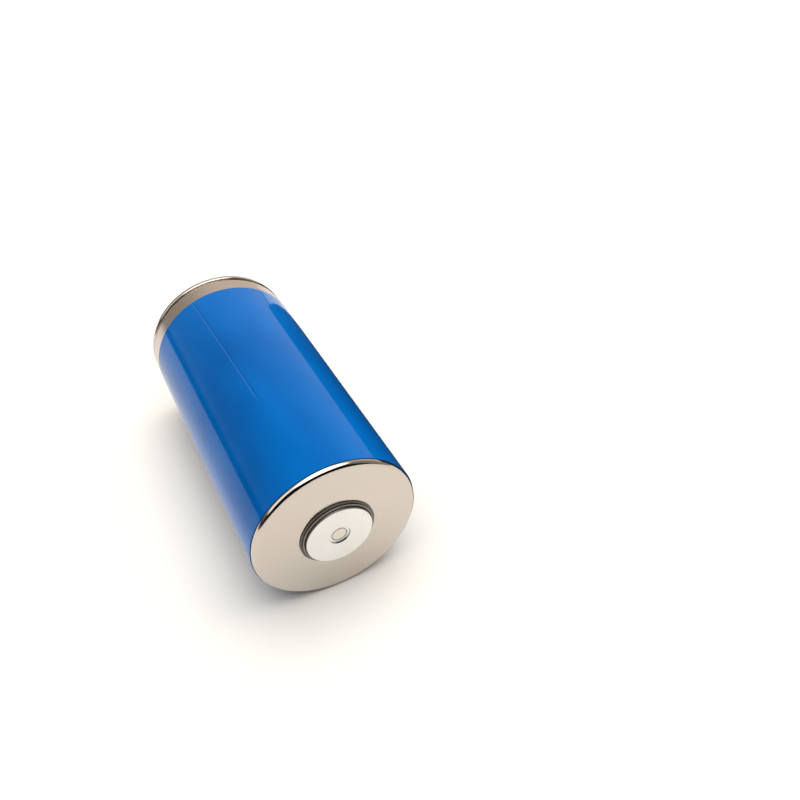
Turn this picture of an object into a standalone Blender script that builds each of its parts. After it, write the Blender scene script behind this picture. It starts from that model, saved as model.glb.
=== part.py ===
"""Cylindrical lithium cell of the 46 x 95 mm format, lying on its side with its terminal end at -Y.

Turned pieces are drawn upright about Z, in millimetres, as (radius, station). A station is the distance
from the flat of the can's closed end, measured towards the crimped end, and it runs down from Z = 0.
An empty at the cell's axis then lays every piece down, so that stations run along +Y.
"""

import math

import bmesh
import bpy
from mathutils import Matrix, Vector

MM = 0.001
MERGE = 0.00001
SEGMENTS = 40
SMOOTH_ANGLE = math.radians(35)
GAP = 0.05

# Can: deep-drawn steel cup, closed at the terminal end and crimped at the other.
CAN_RADIUS = 23.0
CAN_LENGTH = 95.0
CAN_WALL = 0.6
CAN_INNER = CAN_RADIUS - CAN_WALL
END_THICKNESS = 0.9
END_FILLET = 1.3
END_INNER_FILLET = 0.4
HOLE_RADIUS = 7.6
SEAT_RADIUS = 10.6
SEAT_DEPTH = 0.15

# Bead and crimp, as stations.
SHOULDER_RADIUS = 0.7
GROOVE_WALL_LOW = 92.1
GROOVE_ROUND = 0.45
GROOVE_MIDDLE = GROOVE_WALL_LOW + GROOVE_ROUND
GROOVE_WALL_HIGH = GROOVE_MIDDLE + GROOVE_ROUND
GROOVE_CENTRE_RADIUS = 21.65
BEAD_WALL = 0.5
CRIMP_RADIUS = 22.95
CRIMP_INNER = 22.35
CRIMP_LOW_ROUND = 0.6
CRIMP_TOP_ROUND = 0.95
LIP_THICKNESS = 0.6
LIP_RADIUS = 19.6
LIP_ROUND = 0.4
LIP_UNDERSIDE = CAN_LENGTH - LIP_THICKNESS

SLEEVE_THICKNESS = 0.16
SLEEVE_START = 1.4
SLEEVE_END = 86.4

# Riveted terminal and its seal. Stations above the end face are negative.
TERMINAL_HEIGHT = 1.6
HEAD_RADIUS = 9.4
HEAD_CHAMFER = 0.35
HEAD_UNDERSIDE = -0.4
SHANK_RADIUS = 6.95
UPSET_RADIUS = 9.0
UPSET_TOP = 1.5
UPSET_END = 2.2
FILL_RIM_RADIUS = 2.95
FILL_RIM_DEPTH = 0.15
FILL_SEAT_RADIUS = 2.15
FILL_SEAT_FLOOR = -0.6
FILL_BORE_RADIUS = 1.3
PLUG_TOP = -1.2
PLUG_END = 1.6
PLUG_EDGE = 0.15
SEAL_RADIUS = 10.5
SEAL_FLANGE = 0.35
SEAL_CUP_RADIUS = 9.9
SEAL_CUP_HEIGHT = 0.9
SEAL_EDGE = 0.15

# Lid: a pressed disc held in the crimp, with a sloping score channel round its middle.
LID_THICKNESS = 0.36
LID_FACE = CAN_LENGTH - 0.75
LID_FLANGE_FACE = 94.12
LID_FLANGE_RADIUS = 21.9
LID_GROOVE_FACE = 93.65
LID_GROOVE_OUTER = 19.2
LID_GROOVE_INNER = 18.1
LID_STEP = 0.4
CHANNEL_FACE = CAN_LENGTH - 1.55
CHANNEL_RADII = (5.8, 6.5, 8.4, 9.3)

# Ring of channel section that seals the lid in the crimp.
CRIMP_SEAL_RADIUS = 22.3
CRIMP_SEAL_BORE = 20.6
CRIMP_SEAL_TOP = 93.54
CRIMP_SEAL_LEG = 0.18

# Plates and insulators.
INSULATOR_TOP = 0.95
INSULATOR_THICKNESS = 0.5
INSULATOR_RADIUS = 22.0
INSULATOR_SKIRT_END = 3.4
INSULATOR_CORNER = 0.3
PLATE_THICKNESS = 0.35
PLATE_RADIUS = 20.6
PLATE_BORE = 1.6
PLATE_BOSS_RADIUS = 5.0
PLATE_BOSS_SLOPE = 0.6
PLATE_TOP = 2.6
PETALS = 6
SLOT_WIDTH = 1.4
SLOT_START = 8.0
FOLD_RADIUS = 21.3
FOLD_BEVEL = 0.4
CATHODE_FOLDS = (3.05, 4.0)
ANODE_FOLDS = (88.5, 89.3)
DISH_TOP = 89.4
DISH_WALL_RADIUS = 20.2
DISH_FLANGE_RADIUS = 21.9
DISH_FLANGE_END = 91.5
TAB_WIDTH = 7.0
LOWER_INSULATOR = (89.95, 90.4)
LOWER_INSULATOR_BORE = 3.0
LOWER_INSULATOR_RADIUS = 19.4

# Winding: each strip stands for many turns of thin foil, so it is thicker and makes few turns.
WINDING_INNER = 2.6
WINDING_TURNS = 5
WINDING_STEPS = 24
STRIP_GAP = 0.12
TAPE_INNER = 21.8
TAPE_THICKNESS = 0.3

AXIS_HEIGHT = CAN_RADIUS + GAP + SLEEVE_THICKNESS
MIDDLE_STATION = (CAN_LENGTH - TERMINAL_HEIGHT) / 2

# Strips from the inside of a turn to its outside: name, thickness, first and last station, surface.
STRIPS = [
    ("inner_separator", 0.26, 4.9, 87.6, "separator_film"),
    ("anode_strip", 1.15, 5.6, 88.4, "anode_coating"),
    ("outer_separator", 0.26, 4.9, 87.6, "separator_film"),
    ("cathode_strip", 1.0, 4.1, 86.0, "cathode_coating"),
]
TAPES = [
    ("upper_edge_tape", 3.6, 14.0),
    ("winding_end_tape", 20.0, 74.0),
    ("lower_edge_tape", 80.0, 89.0),
]

# Surfaces: base colour, metallic, roughness.
SURFACES = {
    "nickel_plated_steel": ((0.62, 0.58, 0.53), 1.0, 0.3),
    "aluminium": ((0.88, 0.88, 0.87), 1.0, 0.4),
    "blue_film": ((0.0, 0.11, 0.5), 0.0, 0.2),
    "black_plastic": ((0.03, 0.03, 0.035), 0.0, 0.4),
    "nickel_plated_copper": ((0.7, 0.5, 0.38), 1.0, 0.35),
    "copper_foil": ((0.75, 0.4, 0.25), 1.0, 0.4),
    "white_plastic": ((0.8, 0.8, 0.78), 0.0, 0.5),
    "cathode_coating": ((0.05, 0.05, 0.055), 0.0, 0.8),
    "anode_coating": ((0.09, 0.09, 0.1), 0.0, 0.8),
    "separator_film": ((0.86, 0.86, 0.85), 0.0, 0.6),
    "yellow_tape": ((0.75, 0.5, 0.1), 0.0, 0.4),
}


def clear_scene():
    for obj in list(bpy.data.objects):
        bpy.data.objects.remove(obj)


def new_collection(name):
    collection = bpy.data.collections.new(name)
    bpy.context.scene.collection.children.link(collection)
    return collection


def new_material(name, surface):
    colour, metallic, roughness = SURFACES[surface]
    material = bpy.data.materials.new(name)
    material.use_nodes = True
    shader = material.node_tree.nodes["Principled BSDF"]
    shader.inputs["Base Color"].default_value = (*colour, 1)
    shader.inputs["Metallic"].default_value = metallic
    shader.inputs["Roughness"].default_value = roughness
    return material


def add_piece(name, mesh, surface):
    """One named piece, hung on the axis empty and with a material of its own."""
    piece = bpy.data.objects.new(name, mesh)
    mesh.materials.append(new_material(name, surface))
    piece.parent = axis
    cell.objects.link(piece)
    return piece


def arc(radius, station, size, start, end, steps=2):
    """Points round (radius, station), from angle start to end in degrees; 0 is outwards and 90 is +station."""
    turns = [math.radians(start + (end - start) * i / steps) for i in range(steps + 1)]
    return [(radius + size * math.cos(t), station + size * math.sin(t)) for t in turns]


def outline_mesh(name, points, closed):
    """A profile in the XZ plane: a chain of edges through (radius, station) points."""
    mesh = bpy.data.meshes.new(name)
    shape = bmesh.new()
    corners = [shape.verts.new((radius * MM, 0, -station * MM)) for radius, station in points]
    for first, second in zip(corners, corners[1:]):
        shape.edges.new((first, second))
    if closed:
        shape.edges.new((corners[-1], corners[0]))
    shape.to_mesh(mesh)
    shape.free()
    return mesh


def shade_round(piece):
    piece.data.shade_smooth()
    piece.data.set_sharp_from_angle(angle=SMOOTH_ANGLE)


def turn(name, points, surface, closed=True):
    """A profile that runs down its outer side, turned about the axis; an open one starts and ends on the axis."""
    piece = add_piece(name, outline_mesh(name, points, closed), surface)
    screw = piece.modifiers.new("turn", "SCREW")
    screw.steps = SEGMENTS
    screw.render_steps = SEGMENTS
    screw.use_merge_vertices = True
    screw.merge_threshold = MERGE
    screw.use_smooth_shade = True
    return piece


def box_cutter(name, boxes):
    """Boxes as one cutter: each is its size and centre in millimetres, then its turn about the axis."""
    mesh = bpy.data.meshes.new(name)
    shape = bmesh.new()
    for size, centre, angle in boxes:
        place = Matrix.Rotation(angle, 4, "Z") @ Matrix.Translation(Vector(centre) * MM)
        scale = Matrix.Diagonal((*(Vector(size) * MM), 1))
        bmesh.ops.create_cube(shape, size=1, matrix=place @ scale)
    shape.to_mesh(mesh)
    shape.free()
    cutter = bpy.data.objects.new(name, mesh)
    cutter.parent = axis
    cutter.hide_render = True
    cutter.display_type = "WIRE"
    cutters.objects.link(cutter)
    return cutter


def cut(piece, cutter):
    boolean = piece.modifiers.new(cutter.name, "BOOLEAN")
    boolean.operation = "DIFFERENCE"
    boolean.solver = "EXACT"
    boolean.object = cutter


def add_can():
    bead_outer = arc(CAN_RADIUS - SHOULDER_RADIUS, GROOVE_WALL_LOW - SHOULDER_RADIUS, SHOULDER_RADIUS, 0, 90)
    bead_outer += arc(GROOVE_CENTRE_RADIUS, GROOVE_MIDDLE, GROOVE_ROUND, -90, -270, 4)
    crimp_low = GROOVE_WALL_HIGH + CRIMP_LOW_ROUND
    bead_outer += arc(CRIMP_RADIUS - CRIMP_LOW_ROUND, crimp_low, CRIMP_LOW_ROUND, -90, 0)
    crimp_top = CAN_LENGTH - CRIMP_TOP_ROUND
    bead_outer += arc(CRIMP_RADIUS - CRIMP_TOP_ROUND, crimp_top, CRIMP_TOP_ROUND, 0, 90, 3)
    bead_outer += arc(LIP_RADIUS + LIP_ROUND, CAN_LENGTH - LIP_ROUND, LIP_ROUND, 90, 180)
    inner_round = GROOVE_ROUND + BEAD_WALL
    bead_inner = [(LIP_RADIUS, LIP_UNDERSIDE), (CRIMP_INNER, LIP_UNDERSIDE)]
    bead_inner += [(CRIMP_INNER, GROOVE_MIDDLE + inner_round)]
    bead_inner += arc(GROOVE_CENTRE_RADIUS, GROOVE_MIDDLE, inner_round, 90, 270, 4)
    bead_inner += [(CAN_INNER, GROOVE_MIDDLE - inner_round)]
    outside = [(HOLE_RADIUS, SEAT_DEPTH), (SEAT_RADIUS, SEAT_DEPTH), (SEAT_RADIUS, 0)]
    outside += arc(CAN_RADIUS - END_FILLET, END_FILLET, END_FILLET, -90, 0, 4)
    inside_corner = arc(
        CAN_INNER - END_INNER_FILLET, END_THICKNESS + END_INNER_FILLET, END_INNER_FILLET, 0, -90
    )
    turn(
        "can",
        outside + bead_outer + bead_inner + inside_corner + [(HOLE_RADIUS, END_THICKNESS)],
        "nickel_plated_steel",
    )


def add_sleeve():
    inner = CAN_RADIUS + GAP
    outer = inner + SLEEVE_THICKNESS
    points = [(inner, SLEEVE_START), (outer, SLEEVE_START), (outer, SLEEVE_END), (inner, SLEEVE_END)]
    turn("insulation_sleeve", points, "blue_film")


def add_terminal():
    top = -TERMINAL_HEIGHT
    head_side = HEAD_RADIUS - HEAD_CHAMFER
    points = [
        (FILL_SEAT_RADIUS, top + FILL_RIM_DEPTH),
        (FILL_RIM_RADIUS - FILL_RIM_DEPTH, top + FILL_RIM_DEPTH),
        (FILL_RIM_RADIUS, top),
        (head_side, top),
        (HEAD_RADIUS, top + HEAD_CHAMFER),
        (HEAD_RADIUS, HEAD_UNDERSIDE),
        (SHANK_RADIUS, HEAD_UNDERSIDE),
        (SHANK_RADIUS, UPSET_TOP),
        (UPSET_RADIUS, UPSET_TOP),
        (UPSET_RADIUS, UPSET_END),
        (FILL_BORE_RADIUS, UPSET_END),
        (FILL_BORE_RADIUS, FILL_SEAT_FLOOR),
        (FILL_SEAT_RADIUS, FILL_SEAT_FLOOR),
    ]
    turn("positive_terminal", points, "aluminium")


def add_fill_plug():
    disc = FILL_SEAT_RADIUS - GAP
    stem = FILL_BORE_RADIUS - GAP
    points = [(0, PLUG_TOP), (disc - PLUG_EDGE, PLUG_TOP), (disc, PLUG_TOP + PLUG_EDGE)]
    points += [(disc, FILL_SEAT_FLOOR - GAP), (stem, FILL_SEAT_FLOOR - GAP), (stem, PLUG_END), (0, PLUG_END)]
    turn("fill_plug", points, "aluminium", closed=False)


def add_terminal_gasket():
    bore = SHANK_RADIUS + GAP
    cup_bore = HEAD_RADIUS + GAP
    sleeve_radius = HOLE_RADIUS - GAP
    foot = SEAT_DEPTH - GAP
    points = [
        (bore, -SEAL_FLANGE),
        (cup_bore, -SEAL_FLANGE),
        (cup_bore, -SEAL_CUP_HEIGHT),
        (SEAL_CUP_RADIUS - SEAL_EDGE, -SEAL_CUP_HEIGHT),
        (SEAL_CUP_RADIUS, SEAL_EDGE - SEAL_CUP_HEIGHT),
        (SEAL_CUP_RADIUS, -SEAL_FLANGE),
        (SEAL_RADIUS - SEAL_EDGE, -SEAL_FLANGE),
        (SEAL_RADIUS, SEAL_EDGE - SEAL_FLANGE),
        (SEAL_RADIUS, foot),
        (sleeve_radius, foot),
        (sleeve_radius, END_THICKNESS),
        (bore, END_THICKNESS),
    ]
    turn("terminal_gasket", points, "black_plastic")


def add_inner_insulator():
    bore = SHANK_RADIUS + GAP
    under = INSULATOR_TOP + INSULATOR_THICKNESS
    skirt = INSULATOR_RADIUS - INSULATOR_THICKNESS
    points = [
        (bore, INSULATOR_TOP),
        (INSULATOR_RADIUS - INSULATOR_CORNER, INSULATOR_TOP),
        (INSULATOR_RADIUS, INSULATOR_TOP + INSULATOR_CORNER),
        (INSULATOR_RADIUS, INSULATOR_SKIRT_END),
        (skirt, INSULATOR_SKIRT_END),
        (skirt, under),
        (bore, under),
    ]
    turn("inner_insulator", points, "white_plastic")


def add_cathode_collector_plate():
    boss_top = PLATE_TOP - PLATE_THICKNESS
    slope_end = PLATE_BOSS_RADIUS + PLATE_BOSS_SLOPE
    points = [
        (PLATE_BORE, boss_top),
        (PLATE_BOSS_RADIUS, boss_top),
        (slope_end, PLATE_TOP),
        (PLATE_RADIUS, PLATE_TOP),
        (PLATE_RADIUS, PLATE_TOP + PLATE_THICKNESS),
        (slope_end, PLATE_TOP + PLATE_THICKNESS),
        (PLATE_BOSS_RADIUS, PLATE_TOP),
        (PLATE_BORE, PLATE_TOP),
    ]
    plate = turn("cathode_collector_plate", points, "aluminium")
    length = PLATE_RADIUS
    size = (length, SLOT_WIDTH, 4 * PLATE_THICKNESS)
    centre = (SLOT_START + length / 2, 0, -PLATE_TOP)
    slots = [(size, centre, (i + 0.5) * 2 * math.pi / PETALS) for i in range(PETALS)]
    cut(plate, box_cutter("petal_slots", slots))


def add_anode_collector_plate():
    """A dish whose wall and flange are cut away between the tabs that reach up under the bead."""
    flange_top = DISH_FLANGE_END - PLATE_THICKNESS
    points = [
        (PLATE_BORE, DISH_TOP),
        (DISH_WALL_RADIUS, DISH_TOP),
        (DISH_WALL_RADIUS, flange_top),
        (DISH_FLANGE_RADIUS, flange_top),
        (DISH_FLANGE_RADIUS, DISH_FLANGE_END),
        (DISH_WALL_RADIUS - PLATE_THICKNESS, DISH_FLANGE_END),
        (DISH_WALL_RADIUS - PLATE_THICKNESS, DISH_TOP + PLATE_THICKNESS),
        (PLATE_BORE, DISH_TOP + PLATE_THICKNESS),
    ]
    plate = turn("anode_collector_plate", points, "nickel_plated_copper")
    spacing = 2 * math.pi / PETALS
    wall = DISH_WALL_RADIUS - 2 * PLATE_THICKNESS
    notch = 2 * wall * math.sin(spacing / 2) - TAB_WIDTH
    reach = 2 * (DISH_FLANGE_RADIUS - wall * math.cos(spacing / 2))
    height = 2 * (DISH_FLANGE_END - DISH_TOP)
    size = (reach, notch, height)
    centre = (wall * math.cos(spacing / 2) + reach / 2, 0, -(DISH_TOP + DISH_FLANGE_END) / 2)
    notches = [(size, centre, (i + 0.5) * spacing) for i in range(PETALS)]
    cut(plate, box_cutter("tab_notches", notches))


def add_lower_insulator():
    top, under = LOWER_INSULATOR
    radii = (LOWER_INSULATOR_BORE, LOWER_INSULATOR_RADIUS)
    turn("lower_insulator", [(radii[0], top), (radii[1], top), (radii[1], under), (radii[0], under)], "white_plastic")


def add_foil_folds(name, stations, surface):
    """The bared foil edges of the winding, pressed flat against each other into a disc."""
    top, under = stations
    points = [(WINDING_INNER, top), (FOLD_RADIUS - FOLD_BEVEL, top), (FOLD_RADIUS, top + FOLD_BEVEL)]
    points += [(FOLD_RADIUS, under), (WINDING_INNER, under)]
    turn(name, points, surface)


def add_strips():
    """Strips wound together into one spiral, each a ribbon given its thickness by Solidify."""
    pitch = sum(thickness + STRIP_GAP for _, thickness, *_ in STRIPS)
    start = WINDING_INNER
    for name, thickness, top, under, surface in STRIPS:
        shape = bmesh.new()
        corners = []
        for step in range(WINDING_TURNS * WINDING_STEPS + 1):
            turns = step / WINDING_STEPS
            radius = start + thickness / 2 + pitch * turns
            angle = 2 * math.pi * turns
            place = (radius * math.cos(angle), radius * math.sin(angle), -under)
            corners.append(shape.verts.new(Vector(place) * MM))
        edges = [shape.edges.new(pair) for pair in zip(corners, corners[1:])]
        raised = bmesh.ops.extrude_edge_only(shape, edges=edges)["geom"]
        lifted = [item for item in raised if isinstance(item, bmesh.types.BMVert)]
        bmesh.ops.translate(shape, verts=lifted, vec=(0, 0, (under - top) * MM))
        mesh = bpy.data.meshes.new(name)
        shape.to_mesh(mesh)
        shape.free()
        strip = add_piece(name, mesh, surface)
        solid = strip.modifiers.new("thickness", "SOLIDIFY")
        solid.thickness = thickness * MM
        solid.offset = 0
        shade_round(strip)
        start += thickness + STRIP_GAP


def add_tapes():
    outer = TAPE_INNER + TAPE_THICKNESS
    for name, top, under in TAPES:
        turn(name, [(TAPE_INNER, top), (outer, top), (outer, under), (TAPE_INNER, under)], "yellow_tape")


def add_crimp_gasket():
    bottom = LIP_UNDERSIDE - GAP
    inner_wall = LID_FLANGE_RADIUS + GAP
    points = [
        (CRIMP_SEAL_BORE, CRIMP_SEAL_TOP),
        (CRIMP_SEAL_RADIUS, CRIMP_SEAL_TOP),
        (CRIMP_SEAL_RADIUS, bottom),
        (LIP_RADIUS, bottom),
        (LIP_RADIUS, bottom - CRIMP_SEAL_LEG),
        (inner_wall, bottom - CRIMP_SEAL_LEG),
        (inner_wall, CRIMP_SEAL_TOP + CRIMP_SEAL_LEG),
        (CRIMP_SEAL_BORE, CRIMP_SEAL_TOP + CRIMP_SEAL_LEG),
    ]
    turn("crimp_gasket", points, "black_plastic")


def add_bottom_cap():
    """The lid: up its inner face to the flange, then back along the outer face."""
    inner_low, inner_floor, outer_floor, outer_low = CHANNEL_RADII
    step_in = LID_GROOVE_INNER - LID_STEP
    step_out = LID_GROOVE_OUTER + LID_STEP
    face = [
        (inner_low, LID_FACE),
        (inner_floor, CHANNEL_FACE),
        (outer_floor, CHANNEL_FACE),
        (outer_low, LID_FACE),
        (step_in, LID_FACE),
        (LID_GROOVE_INNER, LID_GROOVE_FACE),
        (LID_GROOVE_OUTER, LID_GROOVE_FACE),
        (step_out, LID_FLANGE_FACE),
        (LID_FLANGE_RADIUS, LID_FLANGE_FACE),
    ]
    inside = [(0, LID_FACE - LID_THICKNESS)]
    inside += [(radius, station - LID_THICKNESS) for radius, station in face]
    turn("bottom_cap", inside + face[::-1] + [(0, LID_FACE)], "nickel_plated_steel", closed=False)


clear_scene()
cell = new_collection("cylindrical_cell")
cutters = new_collection("cutters")
cutters.hide_render = True
axis = bpy.data.objects.new("cell_axis", None)
axis.location = (0, -MIDDLE_STATION * MM, AXIS_HEIGHT * MM)
axis.rotation_euler = (math.pi / 2, 0, 0)
cell.objects.link(axis)

add_can()
add_sleeve()
add_terminal()
add_fill_plug()
add_terminal_gasket()
add_inner_insulator()
add_cathode_collector_plate()
add_foil_folds("cathode_foil_folds", CATHODE_FOLDS, "aluminium")
add_strips()
add_tapes()
add_foil_folds("anode_foil_folds", ANODE_FOLDS, "copper_foil")
add_anode_collector_plate()
add_lower_insulator()
add_crimp_gasket()
add_bottom_cap()
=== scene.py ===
import math

import bpy
from mathutils import Matrix, Vector


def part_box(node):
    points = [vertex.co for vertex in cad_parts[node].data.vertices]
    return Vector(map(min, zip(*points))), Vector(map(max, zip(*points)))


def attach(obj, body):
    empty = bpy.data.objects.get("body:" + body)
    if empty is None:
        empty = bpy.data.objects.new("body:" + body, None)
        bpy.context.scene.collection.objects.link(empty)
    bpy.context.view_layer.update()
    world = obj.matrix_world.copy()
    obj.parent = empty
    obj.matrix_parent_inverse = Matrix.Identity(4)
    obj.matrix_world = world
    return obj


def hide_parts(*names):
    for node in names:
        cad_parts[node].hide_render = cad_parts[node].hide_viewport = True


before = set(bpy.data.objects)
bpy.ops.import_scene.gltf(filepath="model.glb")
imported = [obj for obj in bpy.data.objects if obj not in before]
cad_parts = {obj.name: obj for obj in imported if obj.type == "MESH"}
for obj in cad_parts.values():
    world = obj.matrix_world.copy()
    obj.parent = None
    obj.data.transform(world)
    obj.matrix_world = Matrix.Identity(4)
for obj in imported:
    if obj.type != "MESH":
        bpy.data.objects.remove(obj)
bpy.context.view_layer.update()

MM = 0.001
TURN_SEGMENTS = 192
ROUND_STEPS = 10
SHARP_ANGLE = math.radians(38)

# Places and sizes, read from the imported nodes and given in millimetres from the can's end face and axis.
can_low, can_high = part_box("can")
AXIS = Vector((0, can_low[1], (can_low[2] + can_high[2]) / 2))
CAN_RADIUS = (can_high[0] - can_low[0]) / 2 / MM
CAN_LENGTH = (can_high[1] - can_low[1]) / MM


def stations(node):
    """First and last station of a node, in millimetres behind the can's end face."""
    low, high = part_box(node)
    return (low[1] - AXIS.y) / MM, (high[1] - AXIS.y) / MM


def radius_of(node):
    low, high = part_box(node)
    return (high[0] - low[0]) / 2 / MM


# Radii, stations and gaps of the pieces, in millimetres.
PORT_RADIUS = 2.95
GASKET_EDGE = (-0.34, -0.24)
BARE_BAND = (86, 91.3)
SLEEVE_GAP = 0.05
GASKET_STEP = -0.35
HEAD_CLEARANCE = 0.08

# Camera: a phone's short lens, close above the terminal end. Metres and degrees in the row frame.
CAMERA_PLACE = (-0.0477, -0.1684, 0.1831)
CAMERA_PITCH = 41.41
CAMERA_TURN = -28.33
CAMERA_ROLL = 0.7
CAMERA_LENS = 35.3
CAMERA_SENSOR = 36

# Studio light. Heights are sines of the angle above the horizon. Sides are compass angles from +Y
# towards +X, and a reach is the cosine of the angle away from a side. Softs are widths of fading edges.
CEILING_HEIGHT = 0.78
CEILING_SOFT = 0.08
CEILING_LIGHT = 3.1
WING_SIDE = -90
WING_SPREAD = 0.2
WING_HEIGHT = 0.2
WING_HEIGHT_SOFT = 0.1
WING_RANGE = (-0.22, 0.42)
WING_RANGE_SOFT = 0.08
WING_LIGHT = 1.35
SKIRTING_HEIGHT = 0.0
SKIRTING_SOFT = 0.02
STRIP_HEIGHTS = (0.075, 0.125)
STRIP_SOFT = 0.006
STRIP_LIGHT = 0.7
STRIP_SIDE = -50
STRIP_REACH = 0.6
STRIP_REACH_SOFT = 0.1
WALL_LIGHT = 0.3
WINDOW_LIGHT = 0.8
WINDOW_SIDE = 35
WINDOW_REACH = 0.3
WINDOW_REACH_SOFT = 0.6
CEILING_COLOUR = (1.0, 0.99, 0.97)
WALL_COLOUR = (1.0, 0.86, 0.75)
CAMERA_SIDE = 180 - CAMERA_TURN
CAMERA_REACH = 0.05
CAMERA_REACH_SOFT = 0.3
BACKDROP_LIGHT = 1.05
BACKDROP_COLOUR = (1.0, 0.99, 0.97, 1)

# On matt surfaces the light leans to one side, which deepens the shadow opposite. LEAN_LOW is the least
# share of it that is left there.
LEAN_SIDE = 75
LEAN = 1.7
LEAN_LOW = 0.15

# Marks in the materials. Pits, the painted shade low on the port's step and the port's line of painted
# shade are in metres. The painted shade round the terminal's edge and the satin are in millimetres.
PIT_SPACING = 0.006
PIT_SIZE = 0.00014
PIT_SHARE = 0.3
PIT_COLOUR = (0.22, 0.19, 0.16, 1)
PIT_FACING = 0.95
# The port's step carries painted shade: a dark crescent on its low side and a thin dark line round its rim.
PORT_SHADE_COLOUR = (0.03, 0.025, 0.02, 1)
PORT_SHADE_INSIDE = 0.00015
PORT_SHADE_OUTSIDE = 0.00002
SHADE_SOFT = 0.00004
PORT_SHADE_START = 0.78
PORT_SHADE_START_SOFT = 0.12
PORT_SHADE_LEAN = 0.15
PORT_SHADE_LINE = 0.00005
PORT_SHADE_LINE_DEPTH = 0.45
# Painted shade in a ring round the terminal's edge, at the gap to the gasket.
EDGE_SHADE_WIDTH = 0.12
EDGE_SHADE_DEPTH = 0.6
SATIN_SOFT = 0.4
SATIN_GLOSS = 0.14
# Painted highlight: the gasket's lip and its flange's edge are made paler, for their lit edges.
LIP_HIGHLIGHT = 0.8
FLANGE_HIGHLIGHT = 0.3
GASKET_HIGHLIGHT_COLOUR = (0.42, 0.38, 0.34, 1)
# Painted highlight along the sleeve's crease, with a line of painted shade beside it.
CREASE_HIGHLIGHT = (0.05, 0.19, 0.56, 1)
CREASE_SHADE = (0.0, 0.06, 0.27, 1)

# How much of the film's bounce onto the floor is taken as grey instead of blue.
BOUNCE_SHARE = 0.8
BOUNCE_COLOUR = (0.14, 0.12, 0.13, 1)

# Dark cards beside the cell, for the gloss to reflect. Metres.
FLAG_COLOUR = (0.0, 0.02, 0.08, 1)
FLAG_GAP = 0.012
FLAG_OVERHANG = 0.02
RAIL_DISTANCE = 0.25
RAIL_REACH = 0.6
RAIL_HEIGHT = 0.036

# The sleeve's crease, lengthwise and a little slanted. Stations and sizes in millimetres, angles and widths
# in radians from the left side. CREASE_SPAN counts half widths, where the mesh is finer.
CREASE_START = 36
CREASE_END = 84
CREASE_FADE = 4
CREASE_ANGLE = math.radians(72)
CREASE_SLANT = math.radians(-5) / (CREASE_END - CREASE_START)
CREASE_WIDTH = 0.012
CREASE_HEIGHT = 0.035
CREASE_SPAN = range(-20, 13)
SLEEVE_ROWS = 60


# ---------------------------------------------------------------- shapes


def rounded(corners, closed=True):
    """(radius, station, round) corners as a smooth outline: each corner becomes an arc of its round."""
    points = []
    count = len(corners)
    for i, (radius, station, size) in enumerate(corners):
        corner = Vector((radius, station))
        if size == 0 or (not closed and i in (0, count - 1)):
            points.append(corner)
            continue
        before = (Vector(corners[i - 1][:2]) - corner).normalized()
        after = (Vector(corners[(i + 1) % count][:2]) - corner).normalized()
        half = before.angle(after) / 2
        centre = corner + (before + after).normalized() * size / math.sin(half)
        start = corner + before * size / math.tan(half) - centre
        sweep = start.angle_signed(corner + after * size / math.tan(half) - centre)
        for step in range(ROUND_STEPS + 1):
            angle = -sweep * step / ROUND_STEPS
            turned = Vector((
                start.x * math.cos(angle) - start.y * math.sin(angle),
                start.x * math.sin(angle) + start.y * math.cos(angle),
            ))
            points.append(centre + turned)
    return points


def even_angles():
    return [2 * math.pi * i / TURN_SEGMENTS for i in range(TURN_SEGMENTS)]


def turned(name, outline, closed=True, shift=None, angles=None):
    """An outline turned about the cell's axis. shift(radius, station, angle) moves a point, in millimetres.

    Angles run from the cell's left side over its top.
    """
    angles = angles or even_angles()
    around = len(angles)
    vertices = []
    rings = []
    for radius, station in outline:
        if radius < MM:
            rings.append([len(vertices)] * around)
            vertices.append((0, station * MM, 0))
            continue
        rings.append(list(range(len(vertices), len(vertices) + around)))
        for angle in angles:
            r, s = (radius, station) if shift is None else shift(radius, station, angle)
            vertices.append((-r * MM * math.cos(angle), s * MM, r * MM * math.sin(angle)))
    faces = []
    following = rings[1:] + rings[:1] if closed else rings[1:]
    for ring, after in zip(rings, following):
        for i in range(around):
            j = (i + 1) % around
            face = list(dict.fromkeys((ring[i], ring[j], after[j], after[i])))
            if len(face) > 2:
                faces.append(face)
    mesh = bpy.data.meshes.new(name)
    mesh.from_pydata(vertices, [], faces)
    mesh.shade_smooth()
    mesh.set_sharp_from_angle(angle=SHARP_ANGLE)
    piece = bpy.data.objects.new(name, mesh)
    piece.location = AXIS
    bpy.context.scene.collection.objects.link(piece)
    normals = piece.modifiers.new("even_shading", "WEIGHTED_NORMAL")
    normals.keep_sharp = True
    return piece


def stand_for(piece, node, material):
    """The piece rides on the cell and takes the place of one CAD node."""
    piece.data.materials.append(material)
    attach(piece, "root")
    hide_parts(node)


# ---------------------------------------------------------------- materials


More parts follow.
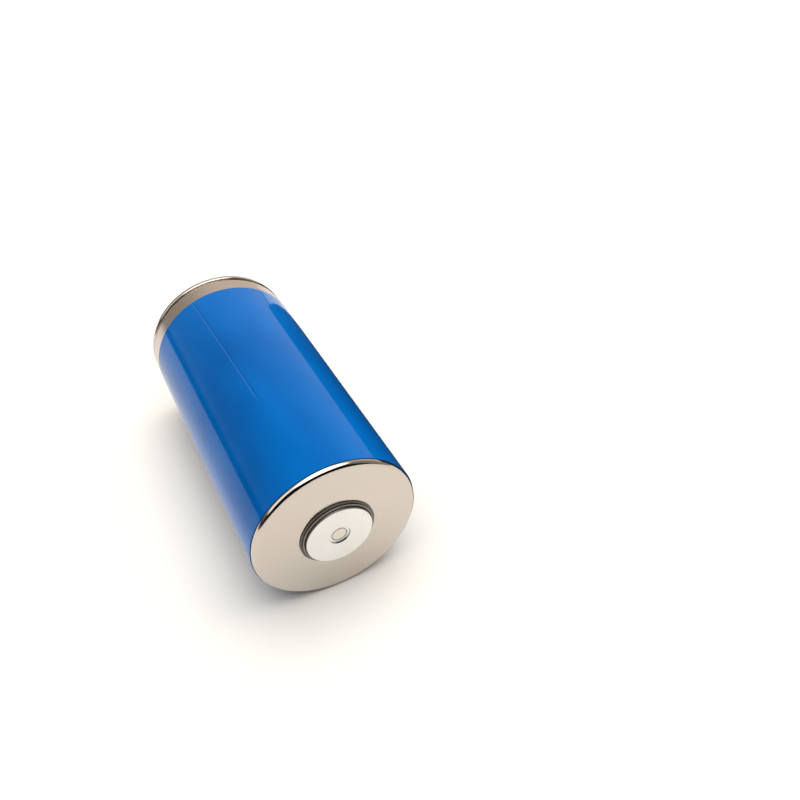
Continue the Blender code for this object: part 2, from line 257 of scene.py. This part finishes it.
class Nodes:
    """A material's or world's node tree, built one node at a time."""

    def __init__(self, owner, shader):
        owner.use_nodes = True
        self.owner = owner
        self.tree = owner.node_tree
        self.shader = self.tree.nodes[shader]

    def add(self, kind, settings=None, **inputs):
        node = self.tree.nodes.new("ShaderNode" + kind)
        for key, value in (settings or {}).items():
            setattr(node, key, value)
        for key, value in inputs.items():
            self.put(node.inputs[key.replace("_", " ")], value)
        return node

    def put(self, socket, value):
        if isinstance(value, bpy.types.NodeSocket):
            self.tree.links.new(value, socket)
        else:
            socket.default_value = value

    def math(self, operation, *values):
        node = self.tree.nodes.new("ShaderNodeMath")
        node.operation = operation
        for socket, value in zip(node.inputs, values):
            self.put(socket, value)
        return node.outputs[0]

    def place(self):
        """Object coordinates: metres from the middle of the can's end face, Y along the cell."""
        return self.add("TexCoord").outputs["Object"]

    def noise(self, scale, detail, roughness=0.5, stretch=(1, 1, 1)):
        mapping = self.add("Mapping", Vector=self.place(), Scale=stretch)
        noise = self.add(
            "TexNoise", Vector=mapping.outputs[0], Scale=scale, Detail=detail, Roughness=roughness,
        )
        return noise.outputs["Fac"]

    def between(self, factor, low, high):
        """factor from 0 to 1 read as low to high."""
        node = self.add("MapRange", Value=factor, To_Min=low, To_Max=high)
        return node.outputs[0]

    def step(self, value, edge, soft):
        """0 below edge, rising smoothly to 1 over soft."""
        node = self.add(
            "MapRange", {"interpolation_type": "SMOOTHSTEP"},
            Value=value, From_Min=edge, From_Max=edge + soft,
        )
        return node.outputs[0]

    def towards(self, direction, compass):
        """How far a direction points along a horizontal compass angle, 0 along +Y and 90 along +X."""
        angle = math.radians(compass)
        node = self.add("VectorMath", {"operation": "DOT_PRODUCT"})
        self.put(node.inputs[0], direction)
        self.put(node.inputs[1], (math.sin(angle), math.cos(angle), 0))
        return node.outputs["Value"]

    def window(self, value, low, high, soft):
        """1 where value is between low and high, fading to 0 within soft of them."""
        return self.math("SUBTRACT", self.step(value, low - soft, soft), self.step(value, high, soft))

    def colours(self, factor, *stops):
        """A colour ramp through (position, colour) stops."""
        ramp = self.add("ValToRGB", Fac=factor)
        elements = ramp.color_ramp.elements
        while len(elements) < len(stops):
            elements.new(0.5)
        for element, (position, colour) in zip(elements, stops):
            element.position = position
            element.color = (*colour, 1)
        return ramp.outputs["Color"]

    def blend(self, factor, low, high):
        """Colour low where factor is 0, high where it is 1."""
        node = self.add("Mix", {"data_type": "RGBA"})
        self.put(node.inputs["Factor"], factor)
        for name, colour in (("A", low), ("B", high)):
            socket = next(i for i in node.inputs if i.name == name and i.type == "RGBA")
            self.put(socket, colour)
        return next(o for o in node.outputs if o.type == "RGBA")

    def specks(self, spacing, size, share):
        """1 on small round specks, on faces that look along the battery, and in only a share of places."""
        flat = self.add("Mapping", Vector=self.place(), Scale=(1, 0, 1))
        cells = self.add("TexVoronoi", {"feature": "F1"}, Vector=flat.outputs[0], Scale=1 / spacing)
        spot = self.math("LESS_THAN", cells.outputs["Distance"], size / spacing)
        draw = self.add("SeparateColor", Color=cells.outputs["Color"]).outputs["Red"]
        facing = self.add("SeparateXYZ", Vector=self.add("TexCoord").outputs["Normal"]).outputs["Y"]
        end = self.math("GREATER_THAN", self.math("ABSOLUTE", facing), PIT_FACING)
        return self.product(spot, end, self.math("LESS_THAN", draw, share))

    def product(self, first, *others):
        for other in others:
            first = self.math("MULTIPLY", first, other)
        return first

    def bump(self, height, distance, strength):
        node = self.add("Bump", Height=height, Distance=distance, Strength=strength)
        self.put(self.shader.inputs["Normal"], node.outputs[0])

    def set(self, **inputs):
        for key, value in inputs.items():
            self.put(self.shader.inputs[key.replace("_", " ")], value)
        return self.owner


def new_material(name):
    return Nodes(bpy.data.materials.new(name), "Principled BSDF")


def nickel_steel(name, low, high, roughness, satin=None):
    """Nickel plate on drawn steel: warm grey, softly clouded, with fine grain and a few pits.

    satin is a (first, last) pair of stations, in millimetres, between which the wall is less polished.
    """
    n = new_material(name)
    cloud = n.noise(45, detail=3, roughness=0.55)
    grain = n.noise(2200, detail=3, roughness=0.6)
    n.bump(grain, distance=0.000001, strength=0.04)
    pits = n.specks(PIT_SPACING, PIT_SIZE, PIT_SHARE)
    gloss = n.between(cloud, roughness - 0.02, roughness + 0.03)
    if satin:
        station = n.math("DIVIDE", n.add("SeparateXYZ", Vector=n.place()).outputs["Y"], MM)
        drawn = n.window(station, *satin, SATIN_SOFT)
        gloss = n.math("MULTIPLY_ADD", drawn, SATIN_GLOSS, gloss)
    return n.set(
        Base_Color=n.blend(pits, n.colours(cloud, (0.3, low), (0.7, high)), PIT_COLOUR),
        Metallic=1.0,
        Roughness=gloss,
    )


def aluminium(name, roughness, low=(0.74, 0.73, 0.71), high=(0.8, 0.79, 0.77)):
    n = new_material(name)
    cloud = n.noise(120, detail=3)
    grain = n.noise(2500, detail=3)
    n.bump(grain, distance=0.000004, strength=0.4)
    return n.set(
        Base_Color=n.colours(cloud, (0.3, low), (0.7, high)),
        Metallic=1.0,
        Roughness=n.between(cloud, roughness - 0.05, roughness + 0.05),
    )


def blasted_aluminium(name, edge_radius):
    """The terminal's bead-blasted face, with painted shade round its edge, round the port's rim and low on
    the port's step.
    """
    n = new_material(name)
    cloud = n.noise(150, detail=3)
    n.bump(n.noise(2500, detail=3), distance=0.000004, strength=0.4)
    place = n.add("SeparateXYZ", Vector=n.place())
    across, up = place.outputs["X"], place.outputs["Z"]
    reach = n.math("SQRT", n.math("ADD", n.product(across, across), n.product(up, up)))
    port = PORT_RADIUS * MM
    # Painted shade: a dark crescent low on the port's step, and a thin dark line round the port's rim.
    step = n.window(reach, port - PORT_SHADE_INSIDE, port + PORT_SHADE_OUTSIDE, SHADE_SOFT)
    downward = n.math("DIVIDE", n.product(up, -1.0), reach)
    leaning = n.math("MULTIPLY_ADD", n.math("DIVIDE", across, reach), PORT_SHADE_LEAN, downward)
    port_shade = n.product(step, n.step(leaning, PORT_SHADE_START, PORT_SHADE_START_SOFT))
    line = n.product(n.window(reach, port - PORT_SHADE_LINE, port + PORT_SHADE_OUTSIDE, SHADE_SOFT), PORT_SHADE_LINE_DEPTH)
    # Painted shade in a dark ring round the head's edge, at the gap to the gasket.
    edge_shade = n.product(n.step(reach, (edge_radius - EDGE_SHADE_WIDTH) * MM, SHADE_SOFT), EDGE_SHADE_DEPTH)
    painted_shade = n.math("MAXIMUM", n.math("MAXIMUM", port_shade, line), edge_shade)
    bare = n.colours(cloud, (0.3, (0.79, 0.78, 0.76)), (0.7, (0.855, 0.845, 0.825)))
    return n.set(
        Base_Color=n.blend(painted_shade, bare, PORT_SHADE_COLOUR),
        Metallic=n.math("SUBTRACT", 1.0, port_shade),
        Roughness=n.between(cloud, 0.36, 0.46),
    )


def plastic(name, low, high, roughness):
    n = new_material(name)
    cloud = n.noise(300, detail=3)
    n.bump(n.noise(1800, detail=2), distance=0.000006, strength=0.5)
    return n.set(
        Base_Color=n.colours(cloud, (0.3, low), (0.7, high)),
        Roughness=n.between(cloud, roughness - 0.06, roughness + 0.06),
    )


def moulded_gasket(name, top):
    """Glossy dark plastic, with a painted highlight along the lip and the flange's edge."""
    n = new_material(name)
    cloud = n.noise(300, detail=3)
    station = n.math("DIVIDE", n.add("SeparateXYZ", Vector=n.place()).outputs["Y"], MM)
    lip_depth, lip_soft, flange_soft = 0.2, 0.1, 0.04
    lip = n.step(n.math("SUBTRACT", top + lip_depth, station), 0.0, lip_soft)
    flange = n.window(station, *GASKET_EDGE, flange_soft)
    body = n.colours(cloud, (0.3, (0.016, 0.012, 0.011)), (0.7, (0.026, 0.02, 0.019)))
    # Painted highlight along the lip and the flange's edge.
    painted_highlight = n.math("MAXIMUM", n.product(lip, LIP_HIGHLIGHT), n.product(flange, FLANGE_HIGHLIGHT))
    return n.set(
        Base_Color=n.blend(painted_highlight, body, GASKET_HIGHLIGHT_COLOUR),
        Roughness=n.between(cloud, 0.1, 0.16),
        IOR=1.5,
        Specular_IOR_Level=0.35,
    )


def blue_film(name):
    """Heat-shrunk film: glossy, evenly blue, with slow waves along the cell and one raised crease, which
    carries a painted highlight and a line of painted shade beside it.
    """
    n = new_material(name)
    cloud = n.noise(45, detail=2, stretch=(1, 0.35, 1))
    wave = n.noise(110, detail=1, stretch=(1, 0.12, 1))
    place = n.add("SeparateXYZ", Vector=n.place())
    station = n.math("DIVIDE", place.outputs["Y"], MM)
    around = n.math("ARCTAN2", place.outputs["Z"], n.product(place.outputs["X"], -1.0))
    drift = n.product(n.math("SUBTRACT", station, CREASE_START), CREASE_SLANT)
    off = n.math("SUBTRACT", around, n.math("ADD", drift, CREASE_ANGLE))
    run = n.window(station, CREASE_START, CREASE_END, CREASE_FADE)
    # Painted highlight along the crease, and painted shade in a line beside it.
    pale = n.product(n.window(off, 0.0, 0.0, CREASE_WIDTH), run)
    dark = n.product(n.window(off, CREASE_WIDTH * 1.2, CREASE_WIDTH * 1.6, CREASE_WIDTH), run)
    film = n.colours(cloud, (0.32, (0.0, 0.093, 0.36)), (0.68, (0.0, 0.15, 0.53)))
    film = n.blend(n.product(pale, 0.55), film, CREASE_HIGHLIGHT)
    film = n.blend(n.product(dark, 0.5), film, CREASE_SHADE)
    bounced = n.add("LightPath").outputs["Is Diffuse Ray"]
    film = n.blend(n.product(bounced, BOUNCE_SHARE), film, BOUNCE_COLOUR)
    n.bump(wave, distance=0.000002, strength=0.6)
    return n.set(
        Base_Color=film,
        Roughness=n.between(cloud, 0.05, 0.08),
        IOR=1.5,
        Specular_IOR_Level=0.3,
        Specular_Tint=(0.1, 0.5, 1.0, 1),
    )


# ---------------------------------------------------------------- pieces


def add_can():
    """The cup, from the terminal's seat over the outside to the rolled lip, then the inside back."""
    seat_station = 0.15
    seat_radius = 10.6
    hole = 7.6
    end_fillet = 1.3
    groove_start, groove_end, groove_floor = 92.1, 93.0, 21.2
    shoulder = 22.95
    lip = 19.6
    lip_under = 94.4
    wall_inside = 22.4
    bead_inside = 20.7
    end_inside = 0.9
    corners = [
        (hole, seat_station, 0),
        (seat_radius, seat_station, 0),
        (seat_radius, 0, 0.06),
        (CAN_RADIUS, 0, end_fillet),
        (CAN_RADIUS, groove_start, 0.7),
        (groove_floor, groove_start, 0.44),
        (groove_floor, groove_end, 0.44),
        (shoulder, groove_end, 0.6),
        (shoulder, CAN_LENGTH, 0.95),
        (lip, CAN_LENGTH, 0.35),
        (lip, lip_under, 0.1),
        (22.35, lip_under, 0.1),
        (22.35, 93.5, 0.1),
        (bead_inside, 93.5, 0.9),
        (bead_inside, 91.6, 0.9),
        (wall_inside, 91.6, 0.3),
        (wall_inside, end_inside, 0.4),
        (hole, end_inside, 0),
    ]
    piece = turned("can_shell", rounded(corners))
    low, high = (0.625, 0.543, 0.489), (0.59, 0.559, 0.493)
    steel = nickel_steel("nickel_plated_steel", low, high, 0.12, satin=BARE_BAND)
    stand_for(piece, "can", steel)


def crease_height(station, angle):
    """How far the film stands up along its crease, in millimetres."""
    run = min(max(min(station - CREASE_START, CREASE_END - station) / CREASE_FADE, 0), 1)
    off = (angle - CREASE_ANGLE - (station - CREASE_START) * CREASE_SLANT) / CREASE_WIDTH
    return CREASE_HEIGHT * run * math.exp(-off * off)


def add_sleeve():
    start, end = stations("insulation_sleeve")
    outer = radius_of("insulation_sleeve")
    inner = CAN_RADIUS + SLEEVE_GAP

    def lie(radius, station, angle):
        """Both cut edges wander inwards by up to 0.16 mm, and the outer face carries the crease."""
        drift = 0.05 * math.sin(2 * angle + 0.6) + 0.03 * math.sin(5 * angle)
        share = 2 * (station - start) / (end - start) - 1
        pull = share * abs(share) ** 5
        height = crease_height(station, angle) if radius > inner else 0
        return radius + height, station - pull * (0.08 + drift)

    rows = [start + (end - start) * i / SLEEVE_ROWS for i in range(SLEEVE_ROWS + 1)]
    film = [(inner, start, 0), (outer, start, 0.08)]
    film += [(outer, station, 0) for station in rows[1:-1]]
    film += [(outer, end, 0.08), (inner, end, 0)]
    fine = [CREASE_ANGLE + CREASE_WIDTH * step / 2 for step in CREASE_SPAN]
    coarse = [a for a in even_angles() if not fine[0] - 0.01 < a < fine[-1] + 0.01]
    piece = turned("sleeve_film", rounded(film), shift=lie, angles=sorted(coarse + fine))
    stand_for(piece, "insulation_sleeve", blue_film("blue_film"))


def add_terminal():
    top, end = stations("positive_terminal")
    head = radius_of("positive_terminal") - HEAD_CLEARANCE
    head_under = -0.4
    rivet_start = 1.5
    bore = 2.22
    bore_end = -0.6
    corners = [
        (bore, top + 0.42, 0.03),
        (PORT_RADIUS - 0.1, top + 0.4, 0.06),
        (PORT_RADIUS, top, 0.07),
        (head - 0.12, top, 0.03),
        (head, top + 0.14, 0.05),
        (head, head_under, 0.1),
        (6.95, head_under, 0.1),
        (6.95, rivet_start, 0.1),
        (9.0, rivet_start, 0.1),
        (9.0, end, 0.2),
        (1.3, end, 0.1),
        (1.3, bore_end, 0.05),
        (bore, bore_end, 0.05),
    ]
    piece = turned("terminal_rivet", rounded(corners))
    stand_for(piece, "positive_terminal", blasted_aluminium("terminal_aluminium", head))


def add_fill_plug():
    top, end = stations("fill_plug")
    disc = radius_of("fill_plug") - HEAD_CLEARANCE
    disc_under = -0.65
    stem = 1.25
    corners = [
        (0, top, 0),
        (disc, top, 0.1),
        (disc, disc_under, 0.05),
        (stem, disc_under, 0.05),
        (stem, end, 0.1),
        (0, end, 0),
    ]
    piece = turned("plug_disc", rounded(corners, closed=False), closed=False)
    metal = aluminium("plug_aluminium", 0.3, (0.66, 0.62, 0.53), (0.72, 0.68, 0.6))
    stand_for(piece, "fill_plug", metal)


def add_gasket():
    """The flange on the can, the cup round the head, and the tube through the can's hole."""
    top, end = stations("terminal_gasket")
    rim = radius_of("terminal_gasket")
    cup_inside, cup_outside = 9.55, 9.9
    tube_inside, tube_outside = 7.0, 7.55
    seat = 0.1
    corners = [
        (tube_inside, GASKET_STEP, 0.05),
        (cup_inside, GASKET_STEP, 0.05),
        (cup_inside, top, 0.1),
        (cup_outside, top, 0.16),
        (cup_outside, GASKET_STEP, 0.08),
        (rim, GASKET_STEP, 0.22),
        (rim, seat, 0.03),
        (tube_outside, seat, 0.05),
        (tube_outside, end, 0.05),
        (tube_inside, end, 0.05),
    ]
    piece = turned("gasket_ring", rounded(corners))
    black = moulded_gasket("gasket_black", top)
    stand_for(piece, "terminal_gasket", black)


def add_lid():
    """A pressed disc of one thickness: flat middle, sloping channel, edge groove and crimped flange."""
    face = CAN_LENGTH - 0.75
    channel = CAN_LENGTH - 1.55
    groove = 93.65
    flange = 94.12
    thick = 0.36
    top_side = [
        (5.8, face, 0.08),
        (6.5, channel, 0.04),
        (8.4, channel, 0.04),
        (9.3, face, 0.12),
        (17.65, face, 0.15),
        (18.1, groove, 0.25),
        (19.25, groove, 0.25),
        (19.6, flange, 0.15),
        (21.9, flange, 0.1),
    ]
    under = [(0, face - thick, 0)] + [(r, s - thick, size) for r, s, size in top_side]
    corners = under + top_side[::-1] + [(0, face, 0)]
    piece = turned("lid_disc", rounded(corners, closed=False), closed=False)
    steel = nickel_steel("lid_nickel", (0.5, 0.45, 0.4), (0.48, 0.46, 0.4), 0.14)
    stand_for(piece, "bottom_cap", steel)


def dress(node, material):
    """A carried-over CAD node takes a better material."""
    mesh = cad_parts[node].data
    mesh.materials.clear()
    mesh.materials.append(material)


def dress_inside():
    white = plastic("insulator_white", (0.72, 0.71, 0.68), (0.8, 0.79, 0.76), 0.45)
    for node in ("inner_insulator", "lower_insulator"):
        dress(node, white)
    black = plastic("crimp_gasket_black", (0.018, 0.017, 0.018), (0.03, 0.029, 0.03), 0.35)
    dress("crimp_gasket", black)
    dress("cathode_collector_plate", aluminium("plate_aluminium", 0.3))
    dress("cathode_foil_folds", aluminium("foil_aluminium", 0.4))
    dress("anode_foil_folds", nickel_steel("copper_foil", (0.6, 0.27, 0.14), (0.78, 0.4, 0.24), 0.35))
    plated = nickel_steel("plated_copper", (0.6, 0.48, 0.38), (0.72, 0.58, 0.46), 0.3)
    dress("anode_collector_plate", plated)
    dress("cathode_strip", plastic("cathode_coating", (0.03, 0.03, 0.033), (0.06, 0.06, 0.065), 0.8))
    dress("anode_strip", plastic("anode_coating", (0.06, 0.06, 0.07), (0.1, 0.1, 0.11), 0.75))
    film = plastic("separator_film", (0.78, 0.78, 0.77), (0.88, 0.88, 0.87), 0.55)
    for node in ("inner_separator", "outer_separator"):
        dress(node, film)
    tape = plastic("yellow_tape", (0.6, 0.36, 0.05), (0.75, 0.48, 0.1), 0.35)
    for node in ("upper_edge_tape", "winding_end_tape", "lower_edge_tape"):
        dress(node, tape)


# ---------------------------------------------------------------- set


def add_camera():
    camera = bpy.data.cameras.new("camera")
    camera.lens = CAMERA_LENS
    camera.sensor_width = CAMERA_SENSOR
    camera.clip_start = 0.01
    stand = bpy.data.objects.new("camera", camera)
    turn = Matrix.Rotation(math.radians(CAMERA_TURN), 4, "Z")
    pitch = Matrix.Rotation(math.radians(90 - CAMERA_PITCH), 4, "X")
    roll = Matrix.Rotation(math.radians(CAMERA_ROLL), 4, "Z")
    stand.matrix_world = Matrix.Translation(CAMERA_PLACE) @ turn @ pitch @ roll
    bpy.context.scene.collection.objects.link(stand)
    bpy.context.scene.camera = stand


def add_floor():
    size = 3.0
    mesh = bpy.data.meshes.new("floor")
    corners = [(-size, -size, 0), (size, -size, 0), (size, size, 0), (-size, size, 0)]
    mesh.from_pydata(corners, [], [(0, 1, 2, 3)])
    floor = bpy.data.objects.new("floor", mesh)
    bpy.context.scene.collection.objects.link(floor)
    n = new_material("floor_white")
    mesh.materials.append(n.set(Base_Color=(0.88, 0.868, 0.842, 1), Roughness=0.6))


def add_flag(name, place, start, end, height):
    """A dark upright card along the cell, out of the camera's sight, for the gloss to reflect."""
    corners = [(place, start, 0), (place, end, 0), (place, end, height), (place, start, height)]
    mesh = bpy.data.meshes.new(name)
    mesh.from_pydata(corners, [], [(0, 1, 2, 3)])
    flag = bpy.data.objects.new(name, mesh)
    bpy.context.scene.collection.objects.link(flag)
    flag.visible_camera = False
    flag.visible_diffuse = False
    flag.visible_shadow = False
    n = new_material(name)
    mesh.materials.append(n.set(Base_Color=FLAG_COLOUR, Roughness=0.8))


def add_flags():
    """One close on the right, which darkens that flank. A low far one on the left ends the floor."""
    low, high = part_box("insulation_sleeve")
    add_flag("right_flag", high[0] + FLAG_GAP, low[1], high[1] + FLAG_OVERHANG, high[2])
    add_flag("left_flag", -RAIL_DISTANCE, low[1] - RAIL_REACH, high[1] + RAIL_REACH, RAIL_HEIGHT)


def add_world():
    """A soft studio: bright ceiling, dim walls, a lit wing on the left, and dark behind the camera."""
    world = bpy.data.worlds.new("studio")
    n = Nodes(world, "Background")
    direction = n.add("TexCoord").outputs["Generated"]
    height = n.add("SeparateXYZ", Vector=direction).outputs["Z"]

    def reach(side, edge, soft):
        return n.step(n.towards(direction, side), edge, soft)

    ceiling = n.step(height, CEILING_HEIGHT, CEILING_SOFT)
    walls = n.step(height, SKIRTING_HEIGHT, SKIRTING_SOFT)
    wall_light = n.between(reach(WINDOW_SIDE, WINDOW_REACH, WINDOW_REACH_SOFT), WALL_LIGHT, WINDOW_LIGHT)
    ahead = n.math("SUBTRACT", 1.0, reach(CAMERA_SIDE, CAMERA_REACH, CAMERA_REACH_SOFT))
    room = n.product(wall_light, walls, ahead)
    strips = n.math("ADD", *(n.window(height, h, h, STRIP_SOFT) for h in STRIP_HEIGHTS))
    lit = reach(STRIP_SIDE, STRIP_REACH, STRIP_REACH_SOFT)
    room = n.math("ADD", room, n.product(strips, STRIP_LIGHT, lit))
    wing = n.product(
        n.window(n.towards(direction, 0), *WING_RANGE, WING_RANGE_SOFT),
        n.step(height, WING_HEIGHT, WING_HEIGHT_SOFT),
        reach(WING_SIDE, 0.0, WING_SPREAD),
    )
    bright = n.math("MAXIMUM", n.product(ceiling, CEILING_LIGHT), n.product(wing, WING_LIGHT))
    light = n.math("MAXIMUM", bright, room)
    tint = n.colours(n.math("MAXIMUM", ceiling, wing), (0.0, WALL_COLOUR), (0.3, CEILING_COLOUR))
    path = n.add("LightPath").outputs
    towards_lean = n.math("MULTIPLY_ADD", n.towards(direction, LEAN_SIDE), LEAN, 1.0)
    lean = n.math("MAXIMUM", LEAN_LOW, towards_lean)
    light = n.product(light, n.between(path["Is Diffuse Ray"], 1.0, lean))
    backdrop = path["Is Camera Ray"]
    n.set(
        Strength=n.between(backdrop, light, BACKDROP_LIGHT),
        Color=n.blend(backdrop, tint, BACKDROP_COLOUR),
    )
    bpy.context.scene.world = world


bpy.context.scene.view_settings.view_transform = "Standard"
add_camera()
add_floor()
add_flags()
add_world()
add_can()
add_sleeve()
add_terminal()
add_fill_plug()
add_gasket()
add_lid()
dress_inside()
